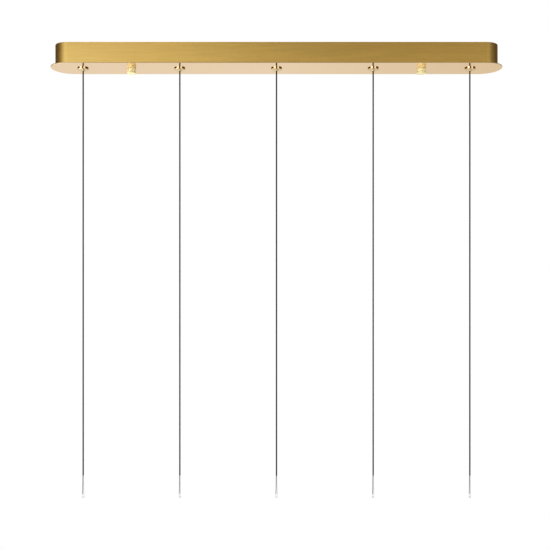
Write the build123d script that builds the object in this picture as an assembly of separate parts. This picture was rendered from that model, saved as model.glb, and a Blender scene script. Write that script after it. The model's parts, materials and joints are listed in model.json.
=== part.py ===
"""Linear five-drop ceiling pendant for a kitchen island: the real object as an assembly of separate pieces.

A long brushed brass box with round ends stands between the ceiling and a wider, polished brass face plate.
Five thin cords leave the plate through turned collars and hang straight down. Two knurled thumb nuts hold
the whole canopy up against a steel bracket that is screwed to the ceiling. Inside lie the driver, the
terminal blocks and the cords' own ends.

Frame: millimetres, +Z up, +X along the canopy, origin in the ceiling plane at the centre of the bracket.
The front of the canopy faces -Y. Everything hangs below Z = 0.
"""
from build123d import *
import math
import os

# ---------------------------------------------------------------- canopy wall and face plate
outlet_count = 5
outlet_pitch = 193.0
end_margin = 63.5
plate_width = 76.0
plate_thickness = 1.5
plate_edge_round = 0.4
plate_overhang = 9.0
wall_height = 42.5
wall_thickness = 1.2
wall_edge_round = 0.35
ceiling_gap = 0.4

# Angle tabs welded inside the wall, and the welded studs and nuts that hold the plate to them
tab_width = 14.0
tab_foot = 9.6
tab_leg = 10.0
tab_thickness = 1.2
weld_stud_radius = 1.5
weld_stud_grip = 4.2
stud_hole_clearance = 0.3
small_nut_flats = 5.5
small_nut_height = 2.4
small_nut_flange_radius = 3.4
small_nut_flange_height = 0.8

# ---------------------------------------------------------------- cord outlets
collar_radius = 11.0
collar_thickness = 3.2
collar_rim = 2.4
collar_round = 0.6
collar_flat_radius = 6.0
neck_radius = 3.4
neck_length = 1.8
neck_round = 0.5
neck_blend = 0.7
socket_depth = 2.2
nipple_radius = 5.0
nipple_wall = 2.0
nipple_rise = 7.5
thread_clearance = 0.05
plate_hole_clearance = 0.2
washer_radius = 9.0
washer_thickness = 1.0
washer_tooth_count = 12
washer_tooth_depth = 1.6
lock_nut_flats = 14.0
lock_nut_height = 3.5
clamp_radius = 5.6
clamp_height = 9.0
clamp_spigot = 4.0
clamp_chamfer = 0.8
clamp_clearance = 0.1
clamp_screw_radius = 1.5
clamp_screw_proud = 1.0

# ---------------------------------------------------------------- cords
cord_radius = 1.4
jacket_drop = 812.0
core_radius = 0.6
core_length = 37.0
core_gap = 0.05
strand_radius = 0.4
strand_length = 8.0
swing_angle = 12.0
throat_clearance = 0.3
mouth_clearance = 0.15
cord_end_gap = 0.5

# ---------------------------------------------------------------- ceiling bracket, studs and thumb nuts
bracket_width = 34.0
bracket_flange = 7.5
bracket_thickness = 1.5
bracket_bend_radius = 2.0
bracket_corner_radius = 2.5
bracket_end_margin = 30.0
screw_slot_length = 20.0
screw_slot_width = 5.2
screw_slot_inset = 24.5
cable_slot_length = 30.0
cable_slot_width = 18.0
stud_radius = 2.5
stud_top_recess = 0.3
stud_engagement = 8.0
stud_point = 0.5
stud_nut_flats = 8.0
stud_nut_height = 4.0
finial_radius = 9.0
finial_height = 10.0
finial_chamfer = 0.3
finial_floor = 1.0
knurl_count = 36
knurl_depth = 0.3
knurl_margin = 0.6
pad_radius = 5.0
pad_thickness = 0.6
pad_recess = 0.5
pad_clearance = 0.05
earth_screw_place = 70.0
earth_screw_radius = 2.0
earth_screw_head_radius = 4.0
earth_screw_head_height = 2.6
earth_screw_head_round = 0.9
earth_washer_radius = 4.8
earth_washer_thickness = 0.8

# ---------------------------------------------------------------- driver, terminal blocks and wiring
unit_offset = -8.0
wire_height = 5.0
driver_length = 130.0
driver_width = 30.0
driver_height = 20.0
driver_round = 2.5
driver_groove = 0.5
driver_groove_height = 14.0
driver_ear_length = 10.0
driver_ear_width = 12.0
driver_ear_offset = -8.0
boss_offset = 5.0
boss_radius = 3.2
boss_tip_radius = 2.5
boss_length = 5.0
block_width = 18.0
block_height = 15.0
block_chamfer = 0.8
block_groove_width = 1.0
block_groove_depth = 2.0
block_ear_length = 9.0
block_ear_width = 9.0
ear_thickness = 2.0
mains_ways = 3
mains_pitch = 9.0
mains_inset = 42.0
mains_offset = -10.0
distribution_pitch = 12.0
input_length = 12.0
input_pitch = 6.0
entry_depth = 4.0
entry_clearance = 0.2
well_radius = 2.3
well_depth = 5.0
terminal_screw_radius = 1.9
terminal_screw_length = 3.0
driver_slot_width = 0.6
driver_slot_depth = 0.8
lead_radius = 0.9
lead_pitch = 2.6
lead_bend = 8.0
tail_bend = 7.0
bend_share = 0.45
hump_rise = 7.5
hump_reach = 9.0
hump_run = 27.0
lane_gap = 0.5
lane_start_gap = 0.75
clip_offset = 48.0
clip_length = 8.0
clip_wall = 1.2
clip_clearance = 0.1
clip_round = 1.5
earth_stud_gap = 19.0
lug_margin = 0.6
lug_thickness = 0.8
lug_barrel_radius = 1.6
lug_barrel_length = 6.0

# ---------------------------------------------------------------- places worked out from the sizes above
BOTTOM = (Align.CENTER, Align.CENTER, Align.MIN)
outlet_places = [(i - (outlet_count - 1) / 2) * outlet_pitch for i in range(outlet_count)]
finial_place = (outlet_count / 2 - 1) * outlet_pitch
finial_sides = {"left": -finial_place, "right": finial_place}
middle_outlet = outlet_places[outlet_count // 2]
left_outlet = middle_outlet - outlet_pitch
bay_centres = [place + outlet_pitch / 2 for place in outlet_places[:-1]]
plate_length = 2 * (outlet_places[-1] + end_margin)
box_length = plate_length - 2 * plate_overhang
box_width = plate_width - 2 * plate_overhang
inner_half_width = box_width / 2 - wall_thickness
wall_top = -ceiling_gap
plate_top = wall_top - wall_height
plate_bottom = plate_top - plate_thickness
tab_places = [place for place in outlet_places if place != middle_outlet]
tab_hole_place = inner_half_width - tab_foot / 2
tab_top = plate_top + tab_thickness
weld_hole_radius = weld_stud_radius + stud_hole_clearance

plate_hole_radius = nipple_radius + plate_hole_clearance
finial_hole_radius = stud_radius + stud_hole_clearance
rim_bottom = plate_bottom - collar_rim
collar_bottom = plate_bottom - collar_thickness
neck_bottom = collar_bottom - neck_length
socket_floor = plate_bottom - socket_depth
nipple_top = plate_top + nipple_rise
nipple_bore = nipple_radius - nipple_wall
lock_nut_low = plate_top + washer_thickness
clamp_top = nipple_top + clamp_height
clamp_bore = cord_radius + clamp_clearance
cord_top = socket_floor
jacket_bottom = plate_bottom - jacket_drop
core_bottom = jacket_bottom - core_length
strand_bottom = core_bottom - strand_length
tail_bottom = cord_top + cord_end_gap
swing = math.radians(swing_angle)
throat_radius = cord_radius + throat_clearance
mouth_radius = (cord_top - neck_bottom) * math.tan(swing) + cord_radius / math.cos(swing) + mouth_clearance

bracket_length = 2 * (finial_place + bracket_end_margin)
web_bottom = -bracket_thickness
screw_slot_place = finial_place - screw_slot_inset
weld_nut_low = web_bottom - stud_nut_height
stud_lock_nut_low = weld_nut_low - stud_nut_height
stud_bottom = plate_bottom - stud_engagement
finial_top = plate_bottom - (pad_thickness - pad_recess)
finial_bottom = finial_top - finial_height

wire_level = plate_top + wire_height
driver_place = middle_outlet - outlet_pitch / 2
driver_ear_place = (driver_length - driver_ear_width) / 2 + driver_ear_length
boss_end = driver_length / 2 + boss_length
block_top = plate_top + block_height
mains_place = left_outlet - mains_inset
mains_length = mains_ways * mains_pitch
mains_face = mains_place + block_width / 2
distribution_place = middle_outlet + outlet_pitch / 2
distribution_length = outlet_count * distribution_pitch + input_length
distribution_left = distribution_place - distribution_length / 2
earth_stud = (mains_face + earth_stud_gap, mains_offset - (mains_ways - 1) / 2 * mains_pitch)


def block_ear_place(length):
    """Distance from a block's centre to the stud hole in its ear."""
    return length / 2 + block_ear_length - block_ear_width / 2


def lane_place(order):
    """Y of a lane for the cord tails along the rear of the outlets, counted from the inside."""
    return washer_radius + lane_start_gap + cord_radius + order * (2 * cord_radius + lane_gap)


# ---------------------------------------------------------------- small helpers
def rod(radius, low, high):
    """A round bar on the Z axis between two heights."""
    return Pos(0, 0, low) * Cylinder(radius, high - low, align=BOTTOM)


def tube(outer, inner, low, high):
    """A round tube on the Z axis between two heights."""
    return rod(outer, low, high) - rod(inner, low, high)


def slab(length, width, low, high):
    """A flat bar with full round ends, between two heights."""
    return Pos(0, 0, low) * extrude(SlotOverall(length, width), high - low)


def hex_nut(flats, bore, low, high):
    """A hexagonal nut whose corners are turned off at both ends."""
    blank = Pos(0, 0, low) * extrude(RegularPolygon(flats / 2, 6, major_radius=False), high - low)
    corner = flats / math.sqrt(3)
    disc = rod(corner, low, high)
    disc = chamfer(disc.edges().filter_by(GeomType.CIRCLE), (corner - flats / 2) / 2)
    return (blank & disc) - rod(bore, low, high)


def small_nut(seat):
    """A flanged nut on a welded stud, standing on a seat at the given height."""
    bore = weld_stud_radius + thread_clearance
    flange = tube(small_nut_flange_radius, bore, seat, seat + small_nut_flange_height)
    return flange + hex_nut(small_nut_flats, bore, seat, seat + small_nut_height)


def slotted(screw, radius, end):
    """A screw along Z with a driver slot across its upper end."""
    slot = Box(3 * radius, driver_slot_width, 2 * driver_slot_depth)
    return screw - Pos(0, 0, end) * slot


def bend_radii(points, most):
    """The radius of each corner of a route: as asked, or as large as the shorter of its two runs allows."""
    radii = []
    for before, here, after in zip(points, points[1:], points[2:]):
        run_in = Vector(*here) - Vector(*before)
        run_out = Vector(*after) - Vector(*here)
        half_turn = math.radians(run_in.get_angle(run_out)) / 2
        room = bend_share * min(run_in.length, run_out.length) / math.tan(half_turn)
        radii.append(min(most, room))
    return radii


def wire(points, radius, bend):
    """A round wire along straight runs that are joined by tangent arcs."""
    radii = bend_radii(points, bend)
    path = FilletPolyline(*points, radius=radii) if radii else Line(*points)
    section = Plane(path @ 0, z_dir=path % 0) * Circle(radius)
    return sweep(section, path=path), radii


def save(node, *solids):
    """Writes one node, which may hold several separate solids."""
    found = [solid for shape in solids for solid in shape.solids()]
    export_step(Compound(found), f"parts/{node}.step")


# ---------------------------------------------------------------- canopy wall and face plate
def canopy_wall():
    """The brushed band that stands on the plate: straight sides, half-round ends, open above and below."""
    band = slab(box_length, box_width, plate_top, wall_top)
    rims = band.edges().group_by(Axis.Z)
    band = fillet(rims[0] + rims[-1], wall_edge_round)
    return band - slab(box_length - 2 * wall_thickness, 2 * inner_half_width, plate_top, wall_top)


def face_plate():
    """The polished plate, wider than the wall all round, with holes for the outlets and the two studs."""
    plate = slab(plate_length, plate_width, plate_bottom, plate_top)
    plate = fillet(plate.edges().group_by(Axis.Z)[0], plate_edge_round)
    for place in outlet_places:
        plate -= Pos(place, 0, 0) * rod(plate_hole_radius, plate_bottom, plate_top)
    for place in finial_sides.values():
        plate -= Pos(place, 0, 0) * rod(finial_hole_radius, plate_bottom, plate_top)
    return plate


def angle_tab():
    """An angle tab: its leg stands against the inside of the rear wall, its foot lies on the plate."""
    back, front = inner_half_width, inner_half_width - tab_foot
    profile = Polyline(
        (back, 0), (front, 0), (front, tab_thickness), (back - tab_thickness, tab_thickness),
        (back - tab_thickness, tab_leg), (back, tab_leg), close=True,
    )
    tab = extrude(Plane.YZ * make_face(profile), tab_width / 2, both=True)
    return Pos(0, 0, plate_top) * (tab - Pos(0, tab_hole_place, 0) * rod(weld_hole_radius, 0, tab_thickness))


def make_canopy():
    save("canopy_wall", canopy_wall())
    save("face_plate", face_plate())
    stud = rod(weld_stud_radius, plate_top, tab_top + weld_stud_grip)
    nut = small_nut(tab_top)
    tab = angle_tab()
    tabs, studs, nuts = [], [], []
    for place in tab_places:
        for side, turn in ((1, 0), (-1, 180)):
            tabs.append(Pos(place, 0, 0) * Rot(0, 0, turn) * tab)
            studs.append(Pos(place, side * tab_hole_place, 0) * stud)
            nuts.append(Pos(place, side * tab_hole_place, 0) * nut)
    save("wall_tabs", *tabs)
    save("plate_studs", *studs)
    save("plate_nuts", *nuts)


# ---------------------------------------------------------------- cord outlets
def outlet_collar():
    """The turned collar under the plate: a rim, a domed underside, a small neck and a flared throat."""
    rim, flat = (collar_radius, rim_bottom), (collar_flat_radius, collar_bottom)
    upper = Polyline(rim, (collar_radius, plate_bottom), (0, plate_bottom), (0, collar_bottom), flat)
    dome = TangentArc(flat, rim, tangent=(1, 0))
    disc = revolve(Plane.XZ * make_face(upper.edges() + dome.edges()), Axis.Z)
    disc = fillet(disc.edges().filter_by_position(Axis.Z, rim_bottom, rim_bottom), collar_round)
    body = disc + rod(neck_radius, neck_bottom, collar_bottom)
    level = body.edges().filter_by(GeomType.CIRCLE).filter_by_position(Axis.Z, collar_bottom, collar_bottom)
    body = fillet(level.sort_by(SortBy.RADIUS)[0], neck_blend)
    body = fillet(body.edges().group_by(Axis.Z)[0], neck_round)
    body -= rod(nipple_radius + thread_clearance, socket_floor, plate_bottom)
    throat = Cone(mouth_radius, throat_radius, socket_floor - neck_bottom, align=BOTTOM)
    return body - Pos(0, 0, neck_bottom) * throat


def toothed_washer():
    """A lock washer with external teeth."""
    washer = tube(washer_radius, plate_hole_radius, plate_top, plate_top + washer_thickness)
    gap = math.pi * washer_radius / washer_tooth_count
    notch = Box(2 * washer_tooth_depth, gap, washer_thickness, align=BOTTOM)
    notches = PolarLocations(washer_radius, washer_tooth_count) * notch
    return washer - Pos(0, 0, plate_top) * Compound(notches)


def clamp_bar(radius, start):
    """A round bar along X, at half the clamp's height, from the start out past the clamp's side."""
    reach = clamp_radius + clamp_screw_proud - start
    bar = Rot(0, 90, 0) * Cylinder(radius, reach, align=BOTTOM)
    return Pos(start, 0, nipple_top + clamp_height / 2) * bar


def cord_clamp():
    """The nylon cord clamp: a spigot in the nipple, a barrel on top of it, and the hole for its screw."""
    barrel = rod(clamp_radius, nipple_top, clamp_top)
    barrel = chamfer(barrel.edges().group_by(Axis.Z)[-1], clamp_chamfer)
    body = barrel + rod(nipple_bore - clamp_clearance, nipple_top - clamp_spigot, nipple_top)
    body -= rod(clamp_bore, nipple_top - clamp_spigot, clamp_top)
    return body - clamp_bar(clamp_screw_radius + thread_clearance, 0)


def clamp_screw():
    """The slotted screw that presses on the cord from the side of the clamp."""
    end = clamp_radius + clamp_screw_proud
    slot = Box(2 * driver_slot_depth, driver_slot_width, 3 * clamp_screw_radius)
    return clamp_bar(clamp_screw_radius, clamp_bore) - Pos(end, 0, nipple_top + clamp_height / 2) * slot


def make_outlets():
    collar, clamp = outlet_collar(), cord_clamp()
    places = [Pos(place, 0, 0) for place in outlet_places]
    for number, place in enumerate(places, 1):
        save(f"outlet_collar_{number}", place * collar)
        save(f"cord_clamp_{number}", place * clamp)
    nut_bore = nipple_radius + thread_clearance
    shared = {
        "outlet_nipples": tube(nipple_radius, nipple_bore, socket_floor + thread_clearance, nipple_top),
        "outlet_washers": toothed_washer(),
        "outlet_lock_nuts": hex_nut(lock_nut_flats, nut_bore, lock_nut_low, lock_nut_low + lock_nut_height),
        "clamp_screws": clamp_screw(),
    }
    for node, piece in shared.items():
        save(node, *[place * piece for place in places])


# ---------------------------------------------------------------- cords
def make_cords():
    """The hanging cords, straight under their own weight, with two stripped cores at the end of each."""
    jacket = rod(cord_radius, jacket_bottom, cord_top)
    core = rod(core_radius, core_bottom, jacket_bottom)
    strand = rod(strand_radius, strand_bottom, core_bottom)
    for number, place in enumerate(outlet_places, 1):
        save(f"cord_{number}", Pos(place, 0, 0) * jacket)
        ends = [place + side * (core_radius + core_gap) for side in (-1, 1)]
        save(f"cord_cores_{number}", *[Pos(x, 0, 0) * piece for x in ends for piece in (core, strand)])
    length = cord_top - jacket_bottom
    expected = math.pi * cord_radius**2 * length
    print(f"cord jacket: {length:.1f} mm, volume {jacket.volume:.1f} of {expected:.1f}")


def tail_lanes():
    """For each outlet, the lane of its cord tail and the way that it ends in.

    Of the cords that come from one side, the nearest takes the inner lane and the first way that it meets,
    so that no cord crosses another.
    """
    lanes = {}
    from_left = [n for n in range(outlet_count) if outlet_places[n] < distribution_place]
    from_right = [n for n in range(outlet_count) if outlet_places[n] > distribution_place]
    for order, number in enumerate(reversed(from_left)):
        lanes[number] = (order, order)
    for order, number in enumerate(from_right):
        lanes[number] = (order, outlet_count - 1 - order)
    return lanes


def way_place(way):
    """X of a way of the distribution block, counted from 0 at its left."""
    return distribution_left + input_length + (way + 0.5) * distribution_pitch


def make_tails():
    """Each cord goes up through its clamp, over in a hump, and along the rear to its own way of the block."""
    entry = unit_offset + (block_width - entry_depth) / 2
    for number, (order, way) in tail_lanes().items():
        place, lane, target = outlet_places[number], lane_place(order), way_place(way)
        side = math.copysign(1, target - place)
        crest = clamp_top + hump_rise
        points = [
            (place, 0, tail_bottom),
            (place, 0, crest),
            (place + side * hump_reach, lane / 2, crest),
            (place + side * (hump_reach + hump_run), lane, wire_level),
            (target, lane, wire_level),
            (target, entry, wire_level),
        ]
        tail, radii = wire(points, cord_radius, tail_bend)
        save(f"cord_tail_{number + 1}", tail)
        length = tail.volume / (math.pi * cord_radius**2)
        print(f"cord tail {number + 1}: {length:.1f} mm, bends", [round(radius, 1) for radius in radii])


def cable_clip(first, last):
    """A nylon saddle stuck to the plate, around the lanes from the first to the last."""
    half = cord_radius + clip_clearance
    low, high = lane_place(first) - half, lane_place(last) + half
    top = wire_level + half + clip_wall
    middle = (low + high) / 2
    outer = Pos(middle, (plate_top + top) / 2) * Rectangle(high - low + 2 * clip_wall, top - plate_top)
    outer = fillet(outer.vertices().group_by(Axis.Y)[-1], clip_round)
    if first == last:
        inner = Pos(middle, wire_level) * Circle(half)
    else:
        inner = Pos(middle, wire_level) * SlotOverall(high - low, 2 * half)
    return extrude(Plane.YZ * (outer - inner), clip_length / 2, both=True)


def make_clips():
    clips = []
    for place in [bay + side * clip_offset for bay in bay_centres for side in (-1, 1)]:
        orders = []
        for number, (order, way) in tail_lanes().items():
            ends = sorted((outlet_places[number], way_place(way)))
            if ends[0] < place < ends[1]:
                orders.append(order)
        clips.append(Pos(place, 0, 0) * cable_clip(min(orders), max(orders)))
    save("cable_clips", *clips)


# ---------------------------------------------------------------- ceiling bracket, studs and thumb nuts
def ceiling_bracket():
    """A steel channel, open downwards, with slots for the ceiling screws and for the supply cable."""
    top = (Align.CENTER, Align.MAX)
    inner_width = bracket_width - 2 * bracket_thickness
    outer = Rectangle(bracket_width, bracket_flange, align=top)
    outer = fillet(outer.vertices().group_by(Axis.Y)[-1], bracket_bend_radius)
    inner = Pos(0, web_bottom) * Rectangle(inner_width, bracket_flange, align=top)
    inner = fillet(inner.vertices().group_by(Axis.Y)[-1], bracket_bend_radius - bracket_thickness)
    channel = extrude(Plane.YZ * (outer - inner), bracket_length / 2, both=True)
    corners = channel.edges().filter_by(Axis.Y).group_by(Axis.Z)[0]
    channel = fillet(corners.group_by(Axis.X)[0] + corners.group_by(Axis.X)[-1], bracket_corner_radius)
    cable_slot = slab(cable_slot_length, cable_slot_width, web_bottom, 0)
    for place in (mains_place, middle_outlet, -mains_place):
        channel -= Pos(place, 0, 0) * cable_slot
    screw_slot = slab(screw_slot_length, screw_slot_width, web_bottom, 0)
    for side in (-1, 1):
        channel -= Pos(side * screw_slot_place, 0, 0) * screw_slot
        channel -= Pos(side * finial_place, 0, 0) * rod(stud_radius + thread_clearance, web_bottom, 0)
    return channel - Pos(earth_screw_place, 0, 0) * rod(earth_screw_radius + thread_clearance, web_bottom, 0)


def earth_screw():
    """The pan head earth screw of the bracket and its washer, both under the web."""
    washer_low = web_bottom - earth_washer_thickness
    head_low = washer_low - earth_screw_head_height
    head = rod(earth_screw_head_radius, head_low, washer_low)
    head = fillet(head.edges().group_by(Axis.Z)[0], earth_screw_head_round)
    screw = slotted(head, earth_screw_head_radius, head_low) + rod(earth_screw_radius, washer_low, 0)
    washer = tube(earth_washer_radius, earth_screw_radius + thread_clearance, washer_low, web_bottom)
    return [Pos(earth_screw_place, 0, 0) * piece for piece in (screw, washer)]


def finial():
    """A thumb nut with a straight knurl, a blind hole for the stud and a shallow seat for its washer."""
    nut = rod(finial_radius, finial_bottom, finial_top)
    nut = chamfer(nut.edges().filter_by(GeomType.CIRCLE), finial_chamfer)
    side = knurl_depth * math.sqrt(2)
    groove = Rot(0, 0, 45) * Box(side, side, finial_height - 2 * knurl_margin, align=BOTTOM)
    grooves = PolarLocations(finial_radius, knurl_count) * groove
    nut -= Pos(0, 0, finial_bottom + knurl_margin) * Compound(grooves)
    nut -= rod(stud_radius + thread_clearance, stud_bottom - finial_floor, finial_top)
    return nut - rod(pad_radius + pad_clearance, finial_top - pad_recess, finial_top)


def make_bracket():
    save("ceiling_bracket", ceiling_bracket())
    save("bracket_earth_screw", *earth_screw())
    bore = stud_radius + thread_clearance
    weld_nut = hex_nut(stud_nut_flats, bore, weld_nut_low, web_bottom)
    lock_nut = hex_nut(stud_nut_flats, bore, stud_lock_nut_low, weld_nut_low)
    stud = rod(stud_radius, stud_bottom, -stud_top_recess)
    stud = chamfer(stud.edges().group_by(Axis.Z)[0], stud_point)
    nut = finial()
    pad = tube(pad_radius, finial_hole_radius, plate_bottom - pad_thickness, plate_bottom)
    for name, place in finial_sides.items():
        save(f"stud_{name}", Pos(place, 0, 0) * stud)
        save(f"finial_{name}", Pos(place, 0, 0) * nut)
        save(f"finial_washer_{name}", Pos(place, 0, 0) * pad)
    save("bracket_weld_nuts", *[Pos(place, 0, 0) * weld_nut for place in finial_sides.values()])
    save("stud_lock_nuts", *[Pos(place, 0, 0) * lock_nut for place in finial_sides.values()])


# ---------------------------------------------------------------- driver and terminal blocks
def driver_case():
    """The slim driver: a moulded case with a parting groove, and an ear and a lead boss at each end."""
    case = Pos(0, 0, plate_top) * Box(driver_length, driver_width, driver_height, align=BOTTOM)
    case = fillet(case.edges().filter_by(Axis.Z) + case.edges().group_by(Axis.Z)[-1], driver_round)
    band = Box(driver_length, driver_width, driver_groove)
    core = Box(driver_length - 2 * driver_groove, driver_width - 2 * driver_groove, driver_groove)
    case -= Pos(0, 0, plate_top + driver_groove_height) * (band - core)
    ear_reach = driver_length + 2 * driver_ear_length
    ears = slab(ear_reach, driver_ear_width, plate_top, plate_top + ear_thickness)
    case += Pos(0, driver_ear_offset, 0) * ears
    boss = Cone(boss_radius, boss_tip_radius, boss_length, align=BOTTOM)
    for side in (-1, 1):
        hole = rod(weld_hole_radius, plate_top, plate_top + ear_thickness)
        case -= Pos(side * driver_ear_place, driver_ear_offset, 0) * hole
        case += Pos(side * driver_length / 2, boss_offset, wire_level) * Rot(0, side * 90, 0) * boss
    return case


def block_body(length, ways, groove_places):
    """A moulded terminal block: a screw well over each way, grooves between them, an ear at its right."""
    block = Pos(0, 0, plate_top) * Box(length, block_width, block_height, align=BOTTOM)
    block = chamfer(block.edges().group_by(Axis.Z)[-1], block_chamfer)
    for place in groove_places:
        block -= Pos(place, 0, block_top) * Box(block_groove_width, block_width, 2 * block_groove_depth)
    for place in ways:
        block -= Pos(place, 0, 0) * rod(well_radius, block_top - well_depth, block_top)
    ear = slab(2 * block_ear_length, block_ear_width, plate_top, plate_top + ear_thickness)
    hole = rod(weld_hole_radius, plate_top, plate_top + ear_thickness)
    return block + Pos(length / 2, 0, 0) * ear - Pos(block_ear_place(length), 0, 0) * hole


def entry_hole(radius):
    """A wire entry along Y, centred on the face that it opens in."""
    return Rot(90, 0, 0) * Cylinder(radius + entry_clearance, 2 * entry_depth)


def mains_block():
    """The mains block in its own frame: an entry at the front and the back of each way."""
    ways = [(way - (mains_ways - 1) / 2) * mains_pitch for way in range(mains_ways)]
    grooves = [(ways[n] + ways[n + 1]) / 2 for n in range(mains_ways - 1)]
    block = block_body(mains_length, ways, grooves)
    for place in ways:
        for side in (-1, 1):
            block -= Pos(place, side * block_width / 2, wire_level) * entry_hole(lead_radius)
    return block, ways


def distribution_block():
    """The distribution block in its own frame: one entry at the back for each cord, two at the left end."""
    ways = [way_place(way) - distribution_place for way in range(outlet_count)]
    grooves = [place - distribution_pitch / 2 for place in ways]
    block = block_body(distribution_length, ways, grooves)
    for place in ways:
        block -= Pos(place, block_width / 2, wire_level) * entry_hole(cord_radius)
    for side in (-1, 1):
        entry = Rot(0, 0, 90) * entry_hole(lead_radius)
        block -= Pos(-distribution_length / 2, side * input_pitch / 2, wire_level) * entry
    return block, ways


def terminal_screws(ways):
    """The slotted screws in the wells of a block."""
    low = block_top - well_depth
    high = low + terminal_screw_length
    screw = slotted(rod(terminal_screw_radius, low, high), terminal_screw_radius, high)
    return [Pos(place, 0, 0) * screw for place in ways]


def inner_studs():
    """X, Y and clamped thickness of each welded stud that holds something down inside the canopy."""
    driver_y = unit_offset + driver_ear_offset
    return [
        (driver_place - driver_ear_place, driver_y, ear_thickness),
        (driver_place + driver_ear_place, driver_y, ear_thickness),
        (mains_place, mains_offset + block_ear_place(mains_length), ear_thickness),
        (distribution_place + block_ear_place(distribution_length), unit_offset, ear_thickness),
        (*earth_stud, lug_thickness),
    ]


def make_units():
    save("led_driver", Pos(driver_place, unit_offset, 0) * driver_case())
    units = {
        "mains_block": (mains_block(), Pos(mains_place, mains_offset, 0) * Rot(0, 0, 90)),
        "distribution_block": (distribution_block(), Pos(distribution_place, unit_offset, 0)),
    }
    for node, ((block, ways), place) in units.items():
        save(node, place * block)
        save(f"{node}_screws", *[place * screw for screw in terminal_screws(ways)])
    studs, nuts = [], []
    for x, y, clamped in inner_studs():
        seat = plate_top + clamped
        studs.append(Pos(x, y, 0) * rod(weld_stud_radius, plate_top, seat + weld_stud_grip))
        nuts.append(Pos(x, y, 0) * small_nut(seat))
    save("inner_studs", *studs)
    save("inner_nuts", *nuts)


# ---------------------------------------------------------------- leads
def lead_pair(start, outlet, end, end_places):
    """Two single wires from a boss of the driver, past the front of an outlet, to the entries they end in."""
    side = math.copysign(1, end - start)
    near, far = outlet - side * washer_radius, outlet + side * washer_radius
    wires = []
    for order, end_place in enumerate(end_places):
        start_place = unit_offset + boss_offset - (order - 0.5) * lead_pitch
        passing = -(washer_radius + lead_radius + lane_start_gap) - order * lead_pitch
        points = [
            (start, start_place, wire_level),
            ((start + near) / 2, start_place, wire_level),
            (near, passing, wire_level),
            (far, passing, wire_level),
            ((far + end) / 2, end_place, wire_level),
            (end + side * entry_depth / 2, end_place, wire_level),
        ]
        wires.append(wire(points, lead_radius, lead_bend)[0])
    return wires


def earth_lead():
    """The earth wire from its way of the mains block, and the ring lug under the nut of the earth stud."""
    x, y = earth_stud
    ring = tube(small_nut_flange_radius + lug_margin, weld_hole_radius, plate_top, plate_top + lug_thickness)
    barrel_end = x - small_nut_flange_radius - lug_margin / 2
    barrel_start = barrel_end - lug_barrel_length
    level = plate_top + lug_barrel_radius
    along = Pos(barrel_start, y, level) * Rot(0, 90, 0)
    barrel = along * Cylinder(lug_barrel_radius, lug_barrel_length, align=BOTTOM)
    bore_length = lug_barrel_length - lug_margin
    bore = along * Cylinder(lead_radius + thread_clearance, bore_length, align=BOTTOM)
    lug = Pos(x, y, 0) * ring + barrel - bore
    points = [
        (mains_face - entry_depth / 2, y, wire_level),
        (mains_face + (barrel_start - mains_face) / 3, y, wire_level),
        (barrel_start - (barrel_start - mains_face) / 4, y, level),
        (barrel_start + lug_barrel_length / 2, y, level),
    ]
    return wire(points, lead_radius, lead_bend)[0], lug


def make_leads():
    upper, lower = [mains_offset + (way - (mains_ways - 1) / 2) * mains_pitch for way in (2, 1)]
    save("driver_supply_lead", *lead_pair(driver_place - boss_end, left_outlet, mains_face, (upper, lower)))
    inputs = [unit_offset + side * input_pitch / 2 for side in (1, -1)]
    save("driver_output_lead", *lead_pair(driver_place + boss_end, middle_outlet, distribution_left, inputs))
    save("earth_lead", *earth_lead())


os.makedirs("parts", exist_ok=True)
make_canopy()
make_outlets()
make_cords()
make_tails()
make_clips()
make_bracket()
make_units()
make_leads()
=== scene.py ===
"""Looks of the linear five-drop ceiling pendant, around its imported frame. Metres, in the frame of the model.

Brushed brass box, polished pale brass plate, turned collars, knurled thumb nuts and black cords, in a plain
white studio. The camera stands where the photograph was taken from: in front of the canopy and below it.
"""
import bmesh
import bpy
import json
import math
from mathutils import Matrix, Vector


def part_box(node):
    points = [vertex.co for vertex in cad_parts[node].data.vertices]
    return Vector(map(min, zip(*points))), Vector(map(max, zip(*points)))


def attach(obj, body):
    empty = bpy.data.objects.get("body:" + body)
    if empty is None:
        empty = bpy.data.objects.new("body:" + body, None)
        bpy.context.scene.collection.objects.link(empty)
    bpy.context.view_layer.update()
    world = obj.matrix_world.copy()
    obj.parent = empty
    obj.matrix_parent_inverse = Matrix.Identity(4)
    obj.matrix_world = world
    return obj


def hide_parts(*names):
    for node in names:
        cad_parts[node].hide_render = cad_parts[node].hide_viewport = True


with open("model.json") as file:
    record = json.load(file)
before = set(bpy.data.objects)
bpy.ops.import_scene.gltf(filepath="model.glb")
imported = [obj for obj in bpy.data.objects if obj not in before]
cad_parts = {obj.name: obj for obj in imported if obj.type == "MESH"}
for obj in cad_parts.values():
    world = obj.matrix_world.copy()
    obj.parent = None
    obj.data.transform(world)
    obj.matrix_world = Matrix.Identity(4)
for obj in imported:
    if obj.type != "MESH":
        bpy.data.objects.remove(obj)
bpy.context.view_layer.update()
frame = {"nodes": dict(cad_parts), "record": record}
scene = bpy.context.scene
scene.view_settings.view_transform = "Standard"
nodes = frame["nodes"]
OUTLETS = range(1, 6)


def centre(node):
    """The middle of a node's box."""
    low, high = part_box(node)
    return (low + high) / 2


# ---------------------------------------------------------------- camera
IMAGE_SIZE = 550
FOCAL_PIXELS = 776.0
HORIZON_PIXEL = 300.0
SENSOR = 36.0
CAMERA_PLACE = (-0.0030, -1.5494, -0.5063)


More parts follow.
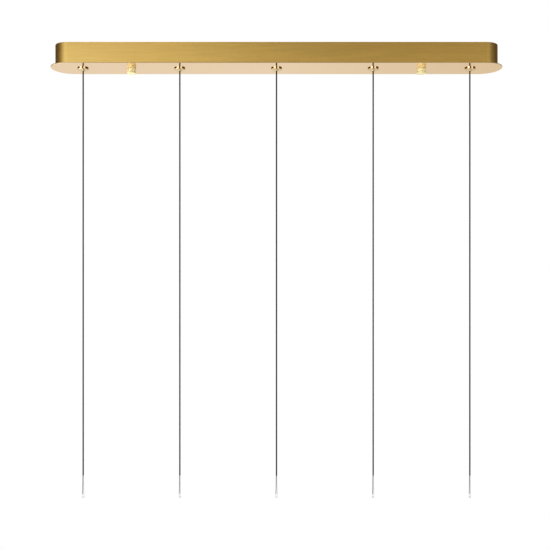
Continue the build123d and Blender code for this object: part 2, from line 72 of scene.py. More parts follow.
def make_camera():
    """A level camera that looks along +Y, with the horizon moved below the middle of the picture."""
    data = bpy.data.cameras.new("camera")
    data.sensor_width = SENSOR
    data.lens = SENSOR * FOCAL_PIXELS / IMAGE_SIZE
    data.shift_y = (HORIZON_PIXEL - IMAGE_SIZE / 2) / IMAGE_SIZE
    camera = bpy.data.objects.new("camera", data)
    camera.location = CAMERA_PLACE
    camera.rotation_euler = (math.radians(90), 0, 0)
    scene.collection.objects.link(camera)
    scene.camera = camera


# ---------------------------------------------------------------- node trees
NOISE_SPAN = (0.3, 0.7)  # most of a noise's values lie in here


def add(tree, kind, inputs=None, **settings):
    """A shader node with its settings, and with each input set to a value or joined to a socket."""
    node = tree.nodes.new("ShaderNode" + kind)
    for key, value in settings.items():
        setattr(node, key, value)
    for key, value in (inputs or {}).items():
        if isinstance(value, bpy.types.NodeSocket):
            tree.links.new(value, node.inputs[key])
        else:
            node.inputs[key].default_value = value
    return node


def maths(tree, operation, *values):
    """The result of a Math node."""
    return add(tree, "Math", dict(enumerate(values)), operation=operation).outputs[0]


def remap(tree, value, low, high, to_low, to_high):
    """A value taken from one range to another, and held inside it."""
    inputs = {"Value": value, "From Min": low, "From Max": high, "To Min": to_low, "To Max": to_high}
    return add(tree, "MapRange", inputs).outputs["Result"]


def between(tree, value, start, full, ebb, end):
    """1 where a value lies between two others, with a soft start and end."""
    rise = remap(tree, value, start, full, 0, 1)
    return maths(tree, "MULTIPLY", rise, remap(tree, value, ebb, end, 1, 0))


def parts_of(tree, vector):
    """The X, Y and Z sockets of a vector."""
    return add(tree, "SeparateXYZ", {0: vector}).outputs


def place_of(tree):
    """Where a point lies on its piece: the frame's own metres at rest."""
    return add(tree, "TexCoord").outputs["Object"]


def noise(tree, size, place=None, detail=3.0):
    """Noise from 0 to 1, with features of a size in metres, which may differ along X, Y and Z."""
    size = size if isinstance(size, tuple) else (size, size, size)
    scale = add(tree, "VectorMath", {0: place or place_of(tree), 1: [1 / s for s in size]},
                operation="MULTIPLY")
    inputs = {"Vector": scale.outputs[0], "Scale": 1.0, "Detail": detail}
    return add(tree, "TexNoise", inputs).outputs["Fac"]


def mix_colours(tree, factor, first, second):
    """A colour between two, each an RGB tuple or a socket."""
    node = add(tree, "Mix", data_type="RGBA")
    for index, value in ((0, factor), (6, first), (7, second)):
        if isinstance(value, bpy.types.NodeSocket):
            tree.links.new(value, node.inputs[index])
        else:
            node.inputs[index].default_value = (*value, 1) if index else value
    return node.outputs[2]


# ---------------------------------------------------------------- patterns
PITCH = (centre("outlet_collar_2") - centre("outlet_collar_1")).x


def grain(long, thin, **settings):
    """Brush lines that run level round the box."""
    return lambda tree: noise(tree, (long, long, thin), **settings)


def painted_ceiling_shade(pattern, share):
    """A pattern on top of a slope of painted shade, which rises from 0 at the ceiling to a share of 1 at the
    plate: the colour is painted darker towards the ceiling.
    """
    low, high = [corner.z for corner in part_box("canopy_wall")]

    def fade(tree):
        height = parts_of(tree, place_of(tree))[2]
        slope = maths(tree, "MULTIPLY", remap(tree, height, low, high, 1.0, 0.0), share)
        return maths(tree, "ADD", remap(tree, pattern(tree), *NOISE_SPAN, 0, 1 - share), slope)
    return fade


def speckle(size, **settings):
    """Soft spots of one size."""
    return lambda tree: noise(tree, size, **settings)


def turned(ring, shift):
    """Tool marks round each of a row of turned parts, which stand one pitch apart, shifted along X."""
    def pattern(tree):
        x, y, z = parts_of(tree, place_of(tree))
        x = maths(tree, "WRAP", maths(tree, "SUBTRACT", x, shift), PITCH / 2, -PITCH / 2)
        square = maths(tree, "ADD", maths(tree, "MULTIPLY", x, x), maths(tree, "MULTIPLY", y, y))
        place = add(tree, "CombineXYZ", {0: maths(tree, "SQRT", square), 2: z}).outputs[0]
        return noise(tree, ring, place, detail=2.0)
    return pattern


def level_tangent(tree):
    """The level direction along an upright wall, which the brush lines follow."""
    across = add(tree, "NewGeometry").outputs["Normal"]
    return add(tree, "VectorMath", {0: across, 1: (0, 0, 1)}, operation="CROSS_PRODUCT").outputs[0]


# ---------------------------------------------------------------- materials
BRUSHED = ((0.57, 0.385, 0.108), (0.75, 0.51, 0.15))
POLISHED = ((0.845, 0.625, 0.405), (0.875, 0.655, 0.435))
TURNED = ((0.69, 0.54, 0.32), (0.75, 0.60, 0.37))
KNURLED = ((0.98, 0.92, 0.60), (1.0, 0.95, 0.66))
# Painted shade: the plate's upright cut edge is painted darker and less metallic, for the dark line at the
# wall's foot.
SHADED_EDGE = (0.60, 0.44, 0.20)
SHADED_EDGE_METALLIC = 0.5
FACE_SLOPE = (0.3, 0.8)  # how level a surface is where a sheet's cut edge ends and where its face begins
ZINC = ((0.52, 0.54, 0.56), (0.66, 0.67, 0.68))
TIN = ((0.60, 0.59, 0.57), (0.74, 0.73, 0.71))
JACKET = ((0.008, 0.008, 0.009), (0.016, 0.016, 0.017))
NYLON = ((0.74, 0.72, 0.66), (0.82, 0.80, 0.75))
CASE = ((0.70, 0.70, 0.69), (0.76, 0.76, 0.75))
BLOCK = ((0.66, 0.65, 0.61), (0.73, 0.72, 0.68))
INSULATION_ROUGHNESS = (0.3, 0.45)

# Insulation of the wires: its two colours, and the sizes of its colour patches and of its dull spots
INSULATION = {
    "dark_core": (((0.012, 0.012, 0.014), (0.020, 0.020, 0.022)), 0.002, 0.001),
    "stripped_core": (((0.70, 0.70, 0.68), (0.80, 0.80, 0.79)), 0.002, 0.001),
    "supply_wire": (((0.11, 0.035, 0.015), (0.15, 0.05, 0.02)), 0.01, 0.002),
    "blue_wire": (((0.015, 0.09, 0.32), (0.02, 0.12, 0.40)), 0.01, 0.002),
    "output_wire": (((0.42, 0.02, 0.015), (0.50, 0.03, 0.02)), 0.01, 0.002),
    "earth_wire": (((0.05, 0.22, 0.03), (0.65, 0.55, 0.03)), 0.004, 0.002),
}

MATERIALS = {}


def make_material(name, tones, tone, roughness, rough, height=None, depth=0.0, tangent=None, edge=None,
                  **sockets):
    """A Principled material, kept in MATERIALS.

    tones are two colours, mixed by tone(tree). roughness is a low and a high value, mixed by rough(tree).
    height(tree) is a relief from 0 to 1 that stands depth metres high. tangent(tree) is the direction of the
    brush lines. edge is the colour of a sheet's upright cut edge, painted darker and less metallic than its
    level faces: painted shade for the dark line at the wall's foot.
    sockets are set as they are.
    """
    material = bpy.data.materials.new(name)
    material.use_nodes = True
    tree = material.node_tree
    surface = tree.nodes["Principled BSDF"]
    colour = mix_colours(tree, tone(tree), *tones)
    # Painted shade on a sheet's upright cut edge: a darker colour and less metal.
    if edge:
        level = maths(tree, "ABSOLUTE", parts_of(tree, add(tree, "NewGeometry").outputs["True Normal"])[2])
        face = remap(tree, level, *FACE_SLOPE, 0, 1)
        colour = mix_colours(tree, face, edge, colour)
        tree.links.new(remap(tree, face, 0, 1, SHADED_EDGE_METALLIC, 1.0), surface.inputs["Metallic"])
    tree.links.new(colour, surface.inputs["Base Color"])
    tree.links.new(remap(tree, rough(tree), *NOISE_SPAN, *roughness), surface.inputs["Roughness"])
    if height:
        bump = add(tree, "Bump", {"Strength": 1.0, "Distance": depth, "Height": height(tree)})
        tree.links.new(bump.outputs["Normal"], surface.inputs["Normal"])
    for key, value in sockets.items():
        surface.inputs[key.replace("_", " ")].default_value = value
    if tangent:
        tree.links.new(tangent(tree), surface.inputs["Tangent"])
    MATERIALS[name] = material


def make_materials():
    """Every material of the scene."""
    # Brushed brass: painted shade darkens its colour towards the ceiling, on top of its grain.
    make_material("brushed_brass", BRUSHED, painted_ceiling_shade(grain(0.06, 0.0016), 0.55), (0.30, 0.42),
                  grain(0.012, 0.00012, detail=2.0), grain(0.02, 0.0001, detail=2.0), 0.00001, level_tangent,
                  Metallic=1.0, Anisotropic=0.6, Anisotropic_Rotation=0.25, Coat_Weight=0.15,
                  Coat_Roughness=0.25)
    # The plate's cut edge is painted darker: painted shade.
    make_material("polished_brass", POLISHED, speckle(0.09), (0.035, 0.07), speckle(0.03),
                  speckle(0.05, detail=1.0), 0.00002, edge=SHADED_EDGE, Metallic=1.0)
    make_material("turned_brass", TURNED, speckle(0.008), (0.02, 0.06), turned(0.00012, 0.0),
                  turned(0.00012, 0.0), 0.0000004, Metallic=1.0)
    make_material("knurled_brass", KNURLED, speckle(0.004), (0.68, 0.78), turned(0.00015, PITCH / 2),
                  turned(0.00015, PITCH / 2), 0.000003, Metallic=1.0)
    make_material("zinc_steel", ZINC, speckle(0.006, detail=6.0), (0.28, 0.5), speckle(0.0015, detail=4.0),
                  speckle(0.0008), 0.000008, Metallic=1.0)
    make_material("black_cord", JACKET, speckle(0.004), (0.42, 0.6), speckle((0.0002, 0.0002, 0.004)),
                  speckle((0.0002, 0.0002, 0.004)), 0.00001, Specular_IOR_Level=0.3)
    make_material("tinned_copper", TIN, speckle(0.001), (0.2, 0.35), speckle(0.0005), Metallic=1.0)
    make_material("natural_nylon", NYLON, speckle(0.006), (0.35, 0.5), speckle(0.0015), speckle(0.0004),
                  0.000006, Subsurface_Weight=0.15, Subsurface_Scale=0.002)
    make_material("driver_case", CASE, speckle(0.02), (0.42, 0.6), speckle(0.001),
                  speckle(0.0006, detail=5.0), 0.00003)
    make_material("block_plastic", BLOCK, speckle(0.01), (0.35, 0.5), speckle(0.001), speckle(0.0006),
                  0.00001, Subsurface_Weight=0.1, Subsurface_Scale=0.002)
    for name, (tones, patches, spots) in INSULATION.items():
        make_material(name, tones, speckle(patches), INSULATION_ROUGHNESS, speckle(spots))


# Nodes with a finish of their own, whatever slot the record gives them
FINISHES = {"finial_left": "knurled_brass", "finial_right": "knurled_brass"}
FINISHES.update((f"outlet_collar_{number}", "turned_brass") for number in OUTLETS)


def dress_frame():
    """Every node takes its own finish, or else the material of its slot in the record."""
    for part in frame["record"]["subparts"]:
        node = nodes[part["node"]]
        if not node.data.materials:
            node.data.materials.append(None)
        for slot in node.material_slots:
            slot.material = MATERIALS[FINISHES.get(part["node"], part["material_slot"])]


# ---------------------------------------------------------------- pieces
BEVEL_RESOLUTION = 6


def make_piece(name, data, body, material, node):
    """A piece of the scene that rides on a body and stands for a node."""
    piece = bpy.data.objects.new(name, data)
    scene.collection.objects.link(piece)
    data.materials.append(MATERIALS[material])
    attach(piece, body)
    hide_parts(node)
    return piece


def make_line(name, lines, diameter):
    """A round line, or several in one curve, each a smooth spline with its points as control points."""
    curve = bpy.data.curves.new(name, "CURVE")
    curve.dimensions = "3D"
    for points in lines:
        spline = curve.splines.new("NURBS")
        spline.points.add(len(points) - 1)
        for point, place in zip(spline.points, points):
            point.co = (*place, 1)
        spline.order_u = 3
        spline.use_endpoint_u = True
    curve.bevel_depth = diameter / 2
    curve.bevel_resolution = BEVEL_RESOLUTION
    curve.use_fill_caps = True
    return curve


def mesh_data(name, mesh):
    """The finished mesh of a bmesh, which is freed."""
    data = bpy.data.meshes.new(name)
    mesh.to_mesh(data)
    mesh.free()
    return data


# ---------------------------------------------------------------- hanging cords and their stripped ends
CORD_DIAMETER = 0.0028
CORD_TOP = -0.0466
CORD_END = -0.8564
CORD_STRAIGHT = 6  # diameters from the outlet to the cord's second point
CORE_DIAMETER = 0.0012
CORE_LENGTH = 0.037
CORE_OFFSET = 0.55  # diameters from the middle of the cord to the middle of a core
CORE_SPREAD = 0.0006
STRAND_COUNT = 7
STRAND_DIAMETER = 0.00026
STRAND_RING = 0.00027
STRAND_LENGTH = 0.008
STRAND_TWIST = 250.0
STRAND_STEPS = 8


def twisted_strands(x):
    """The bare strands of one core: one in the middle and the others wound round it, opening at the end."""
    lines = []
    for strand in range(STRAND_COUNT):
        ring = STRAND_RING if strand else 0.0
        start = 2 * math.pi * strand / (STRAND_COUNT - 1)
        points = []
        for step in range(STRAND_STEPS + 1):
            share = step / STRAND_STEPS
            turn = start + math.radians(STRAND_TWIST) * share
            reach = ring * (1 + share**3)
            points.append((x + reach * math.cos(turn), reach * math.sin(turn),
                           CORD_END - CORE_LENGTH - STRAND_LENGTH * share))
        lines.append(points)
    return lines


def make_cord(number):
    """A hanging cord: a straight line from its collar down to its two stripped cores."""
    x = centre(f"outlet_collar_{number}").x
    body = f"cord_{number}"
    strands = []
    for side, material in ((-1, "dark_core"), (1, "stripped_core")):
        near = x + side * CORE_DIAMETER * CORE_OFFSET
        far = near + side * CORE_SPREAD
        route = [(near, 0, CORD_END + CORE_DIAMETER), (near, 0, CORD_END - CORE_LENGTH / 2),
                 (far, 0, CORD_END - CORE_LENGTH)]
        name = f"{material}_{number}"
        make_piece(name, make_line(name, [route], CORE_DIAMETER), body, material,
                                f"cord_cores_{number}")
        strands += twisted_strands(far)
    name = f"bare_strands_{number}"
    make_piece(name, make_line(name, strands, STRAND_DIAMETER), body, "tinned_copper",
                            f"cord_cores_{number}")
    route = [(x, 0, CORD_TOP), (x, 0, CORD_TOP - CORD_STRAIGHT * CORD_DIAMETER), (x, 0, CORD_END)]
    name = f"hanging_cord_{number}"
    cord = make_piece(name, make_line(name, [route], CORD_DIAMETER), body, "black_cord",
                      f"cord_{number}")


# ---------------------------------------------------------------- threads
THREAD_DEPTH = 0.54  # of the pitch
ROWS_PER_PITCH = 4
STUD_PITCH = 0.0008
STUD_SIDES = 24
WELD_STUD_PITCH = 0.0005
WELD_STUD_SIDES = 16
NIPPLE_PITCH = 0.001
NIPPLE_SIDES = 32
NIPPLE_BORE = 0.003
SAME_PLACE = 1e-6


def solid_boxes(node):
    """The lowest and highest corner of each separate solid of a node."""
    mesh = bmesh.new()
    mesh.from_mesh(nodes[node].data)
    bmesh.ops.remove_doubles(mesh, verts=mesh.verts, dist=SAME_PLACE)
    boxes = []
    unseen = set(mesh.verts)
    while unseen:
        waiting = [unseen.pop()]
        solid = []
        while waiting:
            vert = waiting.pop()
            solid.append(vert.co.copy())
            for edge in vert.link_edges:
                other = edge.other_vert(vert)
                if other in unseen:
                    unseen.remove(other)
                    waiting.append(other)
        boxes.append([Vector([pick(co[axis] for co in solid) for axis in range(3)]) for pick in (min, max)])
    mesh.free()
    return boxes


def ring_of(mesh, place, radius_at, height, sides):
    """A level ring of points round a place, with a radius that may differ from side to side."""
    ring = []
    for side in range(sides):
        turn = 2 * math.pi * side / sides
        radius = radius_at(side / sides)
        ring.append(mesh.verts.new((place.x + radius * math.cos(turn),
                                    place.y + radius * math.sin(turn), height)))
    return ring


def round_ring(mesh, place, radius, height, sides):
    """A level ring of points with the same radius all round."""
    return ring_of(mesh, place, lambda share: radius, height, sides)


def join_rings(mesh, first, second):
    """The band of faces between two rings."""
    for side in range(len(first)):
        after = (side + 1) % len(first)
        mesh.faces.new((first[side], first[after], second[after], second[side]))


def add_threaded_bar(mesh, box, pitch, sides, bore):
    """An upright threaded bar in a box, or a tube if it has a bore: its surface follows the helix."""
    low, high = box
    place = (low + high) / 2
    radius = (high.x - low.x) / 2
    depth = THREAD_DEPTH * pitch
    rows = max(2, round((high.z - low.z) / pitch * ROWS_PER_PITCH))

    def thread(height):
        return lambda share: radius - depth * (1 - abs(2 * ((height / pitch - share) % 1) - 1))

    rings = []
    for row in range(rows + 1):
        height = (high.z - low.z) * row / rows
        rings.append(ring_of(mesh, place, thread(height), low.z + height, sides))
    for below, above in zip(rings, rings[1:]):
        join_rings(mesh, below, above)
    if not bore:
        mesh.faces.new(reversed(rings[0]))
        mesh.faces.new(rings[-1])
        return
    inner_low, inner_high = [round_ring(mesh, place, bore, z, sides) for z in (low.z, high.z)]
    join_rings(mesh, inner_low, rings[0])
    join_rings(mesh, rings[-1], inner_high)
    join_rings(mesh, inner_high, inner_low)


def make_threads(name, node, body, pitch, sides, bore=0.0):
    """Threaded bars in the place of a node's plain ones."""
    mesh = bmesh.new()
    for box in solid_boxes(node):
        add_threaded_bar(mesh, box, pitch, sides, bore)
    data = mesh_data(name, mesh)
    data.shade_smooth()
    make_piece(name, data, body, "zinc_steel", node)


# ---------------------------------------------------------------- cord tails inside the canopy
PLATE_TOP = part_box("face_plate")[1].z
WIRE_HEIGHT = 0.005
WIRE_LEVEL = PLATE_TOP + WIRE_HEIGHT
CLAMP_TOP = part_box("cord_clamp_1")[1].z
HUMP_RISE = 0.0075
HUMP_TOP = CLAMP_TOP + HUMP_RISE
HUMP_REACH = 0.009
HUMP_RUN = 0.027
LANES = (0.01115, 0.01445, 0.01775)
LANES_AND_WAYS = {1: (2, 2), 2: (1, 1), 3: (0, 0), 4: (0, 4), 5: (1, 3)}
CORD_GAP = 0.0005
TAIL_START = CORD_TOP + CORD_GAP
TAIL_ENTRY = -0.001
BLOCK_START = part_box("distribution_block")[0].x
INPUT_LENGTH = 0.012
WAY_PITCH = 0.012
FIRST_WAY = BLOCK_START + INPUT_LENGTH + WAY_PITCH / 2


def make_tail(number):
    """A cord's own end: up through its clamp, over in a hump, along the rear and into its way."""
    lane, way = LANES_AND_WAYS[number]
    x, y, end = centre(f"outlet_collar_{number}").x, LANES[lane], FIRST_WAY + way * WAY_PITCH
    side = math.copysign(1, end - x)
    landing = x + side * (HUMP_REACH + HUMP_RUN)
    near_end = end - side * (y - TAIL_ENTRY)
    route = [(x, 0, TAIL_START), (x, 0, CLAMP_TOP), (x, 0, HUMP_TOP),
             (x + side * HUMP_REACH, y / 2, HUMP_TOP), (landing, y, WIRE_LEVEL)]
    if side * (near_end - landing) > 2 * HUMP_RUN:
        route.append((landing + side * HUMP_RUN, y, WIRE_LEVEL))
    route += [(near_end, y, WIRE_LEVEL), (end, y, WIRE_LEVEL), (end, TAIL_ENTRY, WIRE_LEVEL)]
    name = f"tail_of_cord_{number}"
    make_piece(name, make_line(name, [route], CORD_DIAMETER), "canopy", "black_cord",
               f"cord_tail_{number}")


# ---------------------------------------------------------------- leads inside the canopy
LEAD_DIAMETER = 0.0018
LEAD_PITCH = 0.0026
LEAD_PASSING = 0.01065
LEAD_DEPTH = 0.002
WASHER_RADIUS = 0.009
DRIVER_BOSS = 0.070
BOSS_OFFSET = 0.005
DRIVER_Y = centre("led_driver").y + BOSS_OFFSET
MAINS_HALF_WIDTH = 0.009
MAINS_FACE = centre("mains_block").x + MAINS_HALF_WIDTH
MAINS_ENTRIES = (-0.001, -0.010)
INPUT_OFFSETS = (0.003, -0.003)


def make_lead_pair(names, materials, node, start, outlet, end, end_places):
    """Two single wires from the driver, past the front of an outlet, into the entries that they end in."""
    side = math.copysign(1, end - start)
    near, far = outlet - side * WASHER_RADIUS, outlet + side * WASHER_RADIUS
    for order, (name, material, end_place) in enumerate(zip(names, materials, end_places)):
        start_place = DRIVER_Y - (order - 0.5) * LEAD_PITCH
        passing = -LEAD_PASSING - order * LEAD_PITCH
        route = [(start, start_place, WIRE_LEVEL), ((start + near) / 2, start_place, WIRE_LEVEL),
                 (near, passing, WIRE_LEVEL), (far, passing, WIRE_LEVEL),
                 ((far + end) / 2, end_place, WIRE_LEVEL), (end + side * LEAD_DEPTH, end_place, WIRE_LEVEL)]
        make_piece(name, make_line(name, [route], LEAD_DIAMETER), "canopy", material, node)


def make_leads():
    """The driver's supply lead from the mains block and its output lead to the distribution block."""
    driver = centre("led_driver").x
    left, right = [centre(f"outlet_collar_{number}").x for number in (2, 3)]
    inputs = [centre("distribution_block").y + offset for offset in INPUT_OFFSETS]
    make_lead_pair(("supply_lead_brown", "supply_lead_blue"), ("supply_wire", "blue_wire"),
                   "driver_supply_lead", driver - DRIVER_BOSS, left, MAINS_FACE, MAINS_ENTRIES)
    make_lead_pair(("output_lead_red", "output_lead_black"), ("output_wire", "dark_core"),
                   "driver_output_lead", driver + DRIVER_BOSS, right, BLOCK_START, inputs)


# ---------------------------------------------------------------- earth lead
EARTH_STUD_GAP = 0.019
EARTH_STUD_Y = -0.019
EARTH_STUD = Vector((MAINS_FACE + EARTH_STUD_GAP, EARTH_STUD_Y, PLATE_TOP))
LUG_RADIUS = 0.004
LUG_HOLE = 0.0018
LUG_THICKNESS = 0.0008
LUG_SIDES = 32
BARREL_RADIUS = 0.0016
BARREL_BORE = 0.00095
BARREL_BORE_DEPTH = 0.9  # of the barrel's length
BARREL_REACH = 0.0097
BARREL_START = EARTH_STUD.x - BARREL_REACH
BARREL_LENGTH = 0.006
BARREL_LEVEL = PLATE_TOP + BARREL_RADIUS
# Along the barrel, and how flat it is there: two crimps
BARREL_CRIMPS = ((0.0, 1.0), (0.12, 1.0), (0.2, 0.78), (0.32, 0.78), (0.4, 1.0), (0.6, 1.0), (0.68, 0.78),
                 (0.8, 0.78), (0.88, 1.0), (1.0, 1.0))


def add_lug_ring(mesh):
    """The flat ring of the lug, under the nut of its stud."""
    top = PLATE_TOP + LUG_THICKNESS
    corners = ((LUG_HOLE, PLATE_TOP), (LUG_RADIUS, PLATE_TOP), (LUG_RADIUS, top), (LUG_HOLE, top))
    rings = [round_ring(mesh, EARTH_STUD, radius, height, LUG_SIDES) for radius, height in corners]
    for first, second in zip(rings, rings[1:] + rings[:1]):
        join_rings(mesh, first, second)


def add_lug_barrel(mesh):
    """The barrel of the lug, open towards the wire: made upright at the origin, then laid along X."""
    origin = Vector((0, 0, 0))
    outer = [round_ring(mesh, origin, BARREL_RADIUS, share * BARREL_LENGTH, LUG_SIDES)
             for share, squash in BARREL_CRIMPS]
    bore = [round_ring(mesh, origin, BARREL_BORE, depth * BARREL_LENGTH, LUG_SIDES)
            for depth in (BARREL_BORE_DEPTH, 0.0)]
    for ring, (share, squash) in zip(outer, BARREL_CRIMPS):
        for vert in ring:
            vert.co.x *= squash
    for first, second in zip([bore[1], *outer], outer):
        join_rings(mesh, first, second)
    join_rings(mesh, *bore)
    mesh.faces.new(outer[-1])
    mesh.faces.new(bore[0])
    place = Matrix.Translation((BARREL_START, EARTH_STUD.y, BARREL_LEVEL))
    bmesh.ops.transform(mesh, matrix=place @ Matrix.Rotation(math.radians(90), 4, "Y"),
                        verts=[vert for ring in outer + bore for vert in ring])


def make_earth_lead():
    """The earth wire and its ring lug: a flat ring, and a barrel crimped twice round the wire."""
    gap = BARREL_START - MAINS_FACE
    route = [(MAINS_FACE - LEAD_DEPTH, EARTH_STUD.y, WIRE_LEVEL),
             (MAINS_FACE + gap / 3, EARTH_STUD.y, WIRE_LEVEL),
             (BARREL_START - gap / 4, EARTH_STUD.y, BARREL_LEVEL),
             (BARREL_START + BARREL_LENGTH / 2, EARTH_STUD.y, BARREL_LEVEL)]
    make_piece("earth_wire", make_line("earth_wire", [route], LEAD_DIAMETER), "canopy", "earth_wire",
               "earth_lead")
    mesh = bmesh.new()
    add_lug_ring(mesh)
    add_lug_barrel(mesh)
    bmesh.ops.recalc_face_normals(mesh, faces=mesh.faces)
    make_piece("earth_lug", mesh_data("earth_lug", mesh), "canopy", "tinned_copper",
               "earth_lead")


# ---------------------------------------------------------------- floor
FLOOR_HEIGHT = -1.5
FLOOR_RADIUS = 1.5
FLOOR_SIDES = 96
FLOOR_TONE = (0.88, 0.88, 0.88)
FLOOR_WHITE = 0.75  # the share of plain white in what is seen of the floor
FLOOR_FADE = 0.6  # of the radius, where the floor starts to fade out


def seen_white(tree):
    """1 for the rays that see the background: from the camera, off a gloss and through a clear piece."""
    path = add(tree, "LightPath").outputs
    seen = maths(tree, "MAXIMUM", path["Is Camera Ray"], path["Is Glossy Ray"])
    return maths(tree, "MAXIMUM", seen, path["Is Transmission Ray"])


def make_floor():
    """A round pale floor that keeps a soft shadow and fades into the white at its rim."""
    mesh = bpy.data.meshes.new("floor")
    rim = [(FLOOR_RADIUS * math.cos(turn), FLOOR_RADIUS * math.sin(turn), FLOOR_HEIGHT)
           for turn in (2 * math.pi * side / FLOOR_SIDES for side in range(FLOOR_SIDES))]
    mesh.from_pydata(rim, [], [tuple(range(FLOOR_SIDES))])
    floor = bpy.data.objects.new("floor", mesh)
    scene.collection.objects.link(floor)
    material = bpy.data.materials.new("floor")
    material.use_nodes = True
    tree = material.node_tree
    tree.nodes.clear()
    matt = add(tree, "BsdfDiffuse", {"Color": (*FLOOR_TONE, 1)})
    white = add(tree, "Emission", {"Color": (1, 1, 1, 1), "Strength": 1.0})
    share = maths(tree, "MULTIPLY", seen_white(tree), FLOOR_WHITE)
    pale = add(tree, "MixShader", {0: share, 1: matt.outputs[0], 2: white.outputs[0]})
    clear = add(tree, "BsdfTransparent")
    distance = add(tree, "VectorMath", {0: place_of(tree), 1: (0, 0, FLOOR_HEIGHT)}, operation="DISTANCE")
    rim_fade = remap(tree, distance.outputs["Value"], FLOOR_FADE * FLOOR_RADIUS, FLOOR_RADIUS, 0, 1)
    from_below = add(tree, "NewGeometry").outputs["Backfacing"]
    gone = maths(tree, "MAXIMUM", rim_fade, from_below)
    last = add(tree, "MixShader", {0: gone, 1: pale.outputs[0], 2: clear.outputs[0]})
    output = add(tree, "OutputMaterial")
    tree.links.new(last.outputs[0], output.inputs["Surface"])
    mesh.materials.append(material)


# ---------------------------------------------------------------- studio
# Directions: 0 degrees is towards the camera's side and positive to its right, and a height is the sine of
# the elevation. Levels: 1 is white. Glosses mirror this studio, and the rest is lit by a plain white one.
WORLD_LEVEL = 0.62
MOST_GLOSS = 4.0
WARM_GREEN, WARM_BLUE = 0.3, 1.2  # powers of a level that give its green and its blue
ABOVE_HORIZON = ((-180, 0.50), (-152, 0.34), (-125, 0.04), (-111, 0.04), (-85, 0.06), (-65, 0.22),
                 (-46, 0.48), (-30, 0.87), (-17, 1.34), (-14.8, 1.12), (-12.8, 0.55), (-9, 0.53),
                 (-3, 0.70), (2, 0.52), (9, 0.43), (18, 0.34), (32, 0.29), (50, 0.12), (68, 0.06),
                 (91, 0.03), (123, 0.04), (152, 0.34), (180, 0.50))
ABOVE_MOST_TINT = 1.4
BELOW_HORIZON = ((-180, 0.91), (-158, 0.90), (-135, 0.80), (-90, 0.65), (-66, 0.8), (-57, 1.6), (-46, 2.7),
                 (-30, 2.7), (-20, 1.9), (-12, 0.9), (12, 0.9), (18, 1.0), (25, 1.8), (42, 1.8), (54, 0.8),
                 (90, 0.65), (135, 0.7), (158, 0.76), (180, 0.91))
BELOW_MOST_TINT = 1.2
HORIZON = (-0.10, 0.04)  # heights between which the lower ring gives way to the upper one
OVERHEAD = (0.75, 0.75, 0.75)
OVERHEAD_HEIGHTS = (0.35, 0.7)
LEFT_UNDERFOOT, RIGHT_UNDERFOOT = (2.7, 2.7, 2.7), (0.8, 0.74, 0.62)
UNDERFOOT_SIDES = (-0.5, -0.1)
UNDERFOOT_HEIGHTS = (-0.40, -0.55)
DARK_PANEL = (0.09, 0.035, 0.004)
DARK_PANELS = ((-134, -62), (-14, 18), (58, 134))  # degrees
PANEL_HEIGHTS = (-0.40, -0.38, -0.27, -0.25)
PANEL_SOFTNESS = 2  # degrees at each side
FRONT_PATCH = 0.6  # how much darker it is
PATCH_HEIGHTS = (0.17, 0.22, 0.36, 0.41)
PATCH_DEGREES = (-7.2, -3.6, 7.2, 12.6)


def share_of_turn(degrees):
    """A direction as a share of a full turn that begins at the back."""
    return degrees / 360 + 0.5


def as_gloss(colour):
    """A colour of the studio as a share of the brightest level."""
    return [level / MOST_GLOSS for level in colour]


def ring_of_light(tree, azimuth, levels, most_tint):
    """The colour of the studio all round, from pairs of degrees and level. Dim sides are warm."""
    ramp = add(tree, "ValToRGB", {"Fac": azimuth})
    elements = ramp.color_ramp.elements
    while len(elements) < len(levels):
        elements.new(1.0)
    for element, (degrees, level) in zip(elements, levels):
        tint = min(level, most_tint)
        element.position = share_of_turn(degrees)
        element.color = (*as_gloss((level, level * tint**WARM_GREEN, level * tint**WARM_BLUE)), 1)
    return ramp.outputs["Color"]


def patch(tree, height, azimuth, heights, degrees):
    """1 inside a patch of the studio, with soft sides."""
    return maths(tree, "MULTIPLY", between(tree, height, *heights),
                 between(tree, azimuth, *map(share_of_turn, degrees)))


def studio_gloss(tree):
    """What the metal mirrors: a ring of light above the horizon and one below, overhead and underfoot.

    Low down, dark panels at both sides and in front give the turned collars their dark lobes. Above the
    horizon, a darker patch in front tones down the middle of the wall.
    """
    x, y, height = parts_of(tree, add(tree, "TexCoord").outputs["Generated"])
    turn = maths(tree, "ARCTAN2", x, maths(tree, "MULTIPLY", y, -1.0))
    azimuth = maths(tree, "ADD", maths(tree, "DIVIDE", turn, 2 * math.pi), 0.5)
    above = ring_of_light(tree, azimuth, ABOVE_HORIZON, ABOVE_MOST_TINT)
    above = mix_colours(tree, remap(tree, height, *OVERHEAD_HEIGHTS, 0, 1), above, as_gloss(OVERHEAD))
    underfoot = mix_colours(tree, remap(tree, x, *UNDERFOOT_SIDES, 0, 1), as_gloss(LEFT_UNDERFOOT),
                            as_gloss(RIGHT_UNDERFOOT))
    below = ring_of_light(tree, azimuth, BELOW_HORIZON, BELOW_MOST_TINT)
    below = mix_colours(tree, remap(tree, height, *UNDERFOOT_HEIGHTS, 0, 1), below, underfoot)
    gloss = mix_colours(tree, remap(tree, height, *HORIZON, 0, 1), below, above)
    for start, end in DARK_PANELS:
        degrees = (start, start + PANEL_SOFTNESS, end - PANEL_SOFTNESS, end)
        panel = patch(tree, height, azimuth, PANEL_HEIGHTS, degrees)
        gloss = mix_colours(tree, panel, gloss, as_gloss(DARK_PANEL))
    dim = maths(tree, "MULTIPLY", patch(tree, height, azimuth, PATCH_HEIGHTS, PATCH_DEGREES), FRONT_PATCH)
    return mix_colours(tree, dim, gloss, (0, 0, 0))


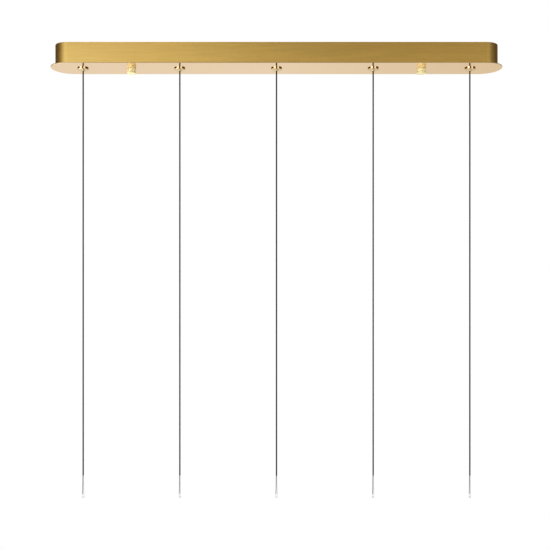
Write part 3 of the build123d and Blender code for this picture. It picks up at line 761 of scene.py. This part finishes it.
def make_world():
    """White all round for the camera, a plain level for light, and the studio's panels for gloss."""
    world = bpy.data.worlds.new("studio")
    scene.world = world
    world.use_nodes = True
    tree = world.node_tree
    tree.nodes.clear()
    path = add(tree, "LightPath").outputs
    seen = maths(tree, "MAXIMUM", path["Is Camera Ray"], path["Is Transmission Ray"])
    level = add(tree, "Mix", {0: seen, 2: WORLD_LEVEL, 3: 1.0}).outputs[0]
    plain = add(tree, "Background", {"Color": (1, 1, 1, 1), "Strength": level})
    panels = add(tree, "Background", {"Color": studio_gloss(tree), "Strength": MOST_GLOSS})
    light = add(tree, "MixShader", {0: path["Is Glossy Ray"], 1: plain.outputs[0], 2: panels.outputs[0]})
    output = add(tree, "OutputWorld")
    tree.links.new(light.outputs[0], output.inputs["Surface"])


def make_softbox(name, azimuth, elevation, distance, width, height, radiance):
    """An area light that faces the canopy. Azimuth is from the camera's side, positive to the right."""
    data = bpy.data.lights.new(name, "AREA")
    data.shape = "RECTANGLE"
    data.size = width
    data.size_y = height
    data.energy = radiance * math.pi * width * height
    lamp = bpy.data.objects.new(name, data)
    turn, rise = math.radians(azimuth), math.radians(elevation)
    away = Vector((math.sin(turn) * math.cos(rise), -math.cos(turn) * math.cos(rise), math.sin(rise)))
    lamp.location = away * distance
    lamp.rotation_mode = "QUATERNION"
    lamp.rotation_quaternion = away.to_track_quat("Z", "Y")
    scene.collection.objects.link(lamp)


# ---------------------------------------------------------------- the scene
make_camera()
make_materials()
dress_frame()
for number in OUTLETS:
    make_cord(number)
    make_tail(number)
make_leads()
make_earth_lead()
for side in ("left", "right"):
    make_threads(f"threaded_stud_{side}", f"stud_{side}", "bracket", STUD_PITCH, STUD_SIDES)
for place in ("plate", "inner"):
    make_threads(f"threaded_{place}_studs", f"{place}_studs", "canopy", WELD_STUD_PITCH, WELD_STUD_SIDES)
make_threads("threaded_nipples", "outlet_nipples", "canopy", NIPPLE_PITCH, NIPPLE_SIDES, NIPPLE_BORE)
make_floor()
make_world()
make_softbox("key", azimuth=-36, elevation=50, distance=2.0, width=1.4, height=1.0, radiance=2.4)
make_softbox("fill", azimuth=60, elevation=50, distance=2.0, width=1.0, height=1.0, radiance=1.2)
